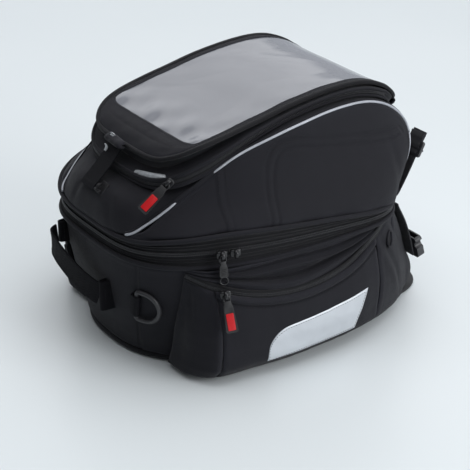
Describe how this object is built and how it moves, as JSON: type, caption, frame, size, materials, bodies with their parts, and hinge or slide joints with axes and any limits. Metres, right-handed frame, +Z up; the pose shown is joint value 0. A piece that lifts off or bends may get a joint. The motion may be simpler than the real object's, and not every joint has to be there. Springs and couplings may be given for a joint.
{
  "type": "tank bag",
  "caption": "Soft expandable tank bag for a motorcycle, with a zipped lid, clear map flap, side pockets, carry handle and strap points.",
  "frame": {"origin": "on the ground, under the middle of the bag's length and width", "axes": "+X from the low nose with the carry handle to the tall end, +Z up, +Y to the left looking along +X"},
  "size_m": [0.4001, 0.3382, 0.2662],
  "materials": {
    "cloth": "matte woven polyester, near black with a cold tint",
    "binding": "folded and rolled binding tape with a fine weave",
    "webbing": "ribbed polypropylene webbing",
    "zip_tape": "woven tape and nylon coil",
    "clear_window": "soft clear vinyl, slightly wavy",
    "reflective_piping": "light grey retroreflective piping",
    "reflective_patch": "silver retroreflective sheet, satin",
    "pull_rubber": "moulded soft rubber",
    "pull_label": "red moulded plate",
    "slider_metal": "black enamelled zinc",
    "hardware": "black moulded acetal",
    "board": "sheet polyethylene",
    "grip_rubber": "ribbed non-slip rubber sheet",
    "stitching": "bonded thread",
    "lining": "plain woven lining"
  },
  "bodies": {
    "tub": {"bottom_binding": "binding", "d_ring_tabs": "webbing", "floor_board": "board", "floor_panel": "cloth", "front_panel": "cloth", "grip_pad": "grip_rubber", "handle_anchors": "webbing", "lower_cord": "binding", "lower_zip_coil": "zip_tape", "lower_zip_tape": "zip_tape", "pocket_face_left": "cloth", "pocket_face_right": "cloth", "pocket_front_gusset_left": "cloth", "pocket_front_gusset_right": "cloth", "pocket_rear_gusset_left": "cloth", "pocket_rear_gusset_right": "cloth", "pocket_top_left": "cloth", "pocket_top_right": "cloth", "pocket_zip_left": "zip_tape", "pocket_zip_right": "zip_tape", "rear_panel": "cloth", "reflective_patch_left": "reflective_patch", "reflective_patch_right": "reflective_patch", "strap_buckles": "hardware", "tub_side_panel_left": "cloth", "tub_side_panel_right": "cloth", "tub_straps": "webbing"},
    "lid": {"upper_zip_coil": "zip_tape", "upper_zip_tape": "zip_tape", "upper_cord": "binding", "lid_front_slope": "cloth", "lid_rear_panel": "cloth", "lid_top_panel": "cloth", "organiser_pocket": "cloth", "organiser_pane": "clear_window", "closing_hook": "hardware", "lid_straps": "webbing", "ladder_locks": "hardware", "lid_side_panel_right": "cloth", "lid_side_panel_left": "cloth", "reflective_piping_right": "reflective_piping", "reflective_piping_left": "reflective_piping"},
    "map_flap": {"flap_binding": "binding", "flap_frame": "cloth", "map_window": "clear_window", "closing_strap": "webbing"},
    "front_slider": {"front_zip_slider": "slider_metal"},
    "rear_slider": {"rear_zip_slider": "slider_metal"},
    "zip_pull": {"zip_puller": "pull_rubber"},
    "pocket_slide_right": {"pocket_slider_right": "slider_metal"},
    "pocket_slide_left": {"pocket_slider_left": "slider_metal"},
    "pocket_pull_right": {"pocket_puller_right": "pull_rubber"},
    "pocket_pull_left": {"pocket_puller_left": "pull_rubber"},
    "organiser_slide": {"organiser_slider": "slider_metal"},
    "organiser_pull": {"organiser_puller": "pull_rubber"},
    "ring_right": {"d_ring_right": "hardware"},
    "ring_left": {"d_ring_left": "hardware"},
    "handle": {"carry_handle": "webbing"}
  },
  "joints": [
    {"name": "lid_hinge", "type": "hinge", "parent": "tub", "child": "lid", "pos_m": [0.139, 0, 0.1315], "axis": [0, 1, 0], "range_deg": [0, 95]},
    {"name": "map_flap_hinge", "type": "hinge", "parent": "lid", "child": "map_flap", "pos_m": [0.1665, 0, 0.2175], "axis": [0, 1, 0], "range_deg": [0, 80]},
    {"name": "front_slider_run", "type": "hinge", "parent": "tub", "child": "front_slider", "pos_m": [-0.002, 0.193, 0.142], "axis": [0.0549, 0, 0.9985], "range_deg": [-4, 0]},
    {"name": "rear_slider_run", "type": "hinge", "parent": "tub", "child": "rear_slider", "pos_m": [-0.002, 0.193, 0.142], "axis": [0.0549, 0, 0.9985], "range_deg": [0, 21]},
    {"name": "zip_pull_swing", "type": "hinge", "parent": "front_slider", "child": "zip_pull", "pos_m": [-0.11221, -0.13909, 0.142], "axis": [-0.9491, 0.315, 0], "range_deg": [0, 80]},
    {"name": "pocket_slider_run_right", "type": "hinge", "parent": "tub", "child": "pocket_slide_right", "pos_m": [-0.0228, -0.0407, 0.252], "axis": [-0.0406, -0.7994, 0.5995], "range_deg": [0, 52]},
    {"name": "pocket_pull_swing_right", "type": "hinge", "parent": "pocket_slide_right", "child": "pocket_pull_right", "pos_m": [-0.11854, -0.15422, 0.10614], "axis": [-0.9307, 0.3503, -0.1051], "range_deg": [0, 80]},
    {"name": "pocket_slider_run_left", "type": "hinge", "parent": "tub", "child": "pocket_slide_left", "pos_m": [-0.0228, 0.0407, 0.252], "axis": [0.0406, -0.7994, -0.5995], "range_deg": [0, 52]},
    {"name": "pocket_pull_swing_left", "type": "hinge", "parent": "pocket_slide_left", "child": "pocket_pull_left", "pos_m": [-0.11854, 0.15422, 0.10614], "axis": [0.9307, 0.3503, 0.1051], "range_deg": [0, 80]},
    {"name": "organiser_slider_run", "type": "hinge", "parent": "lid", "child": "organiser_slide", "pos_m": [-0.054, 0.041, 0.233], "axis": [-0.3794, 0, 0.9253], "range_deg": [0, 12]},
    {"name": "organiser_pull_swing", "type": "hinge", "parent": "organiser_slide", "child": "organiser_pull", "pos_m": [-0.13852, -0.0832, 0.20676], "axis": [-0.2815, 0.8218, 0.4954], "range_deg": [0, 90]},
    {"name": "d_ring_swing_right", "type": "hinge", "parent": "tub", "child": "ring_right", "pos_m": [-0.1712, -0.0716, 0.0904], "axis": [0.0779, 0.2142, -0.9737], "range_deg": [0, 120]},
    {"name": "d_ring_swing_left", "type": "hinge", "parent": "tub", "child": "ring_left", "pos_m": [-0.1712, 0.0716, 0.0904], "axis": [-0.0779, 0.2142, 0.9737], "range_deg": [0, 120]},
    {"name": "handle_swing", "type": "hinge", "parent": "tub", "child": "handle", "pos_m": [-0.185, -0.02, 0.07], "axis": [0, 0.9304, 0.3665], "range_deg": [0, 31]}
  ]
}
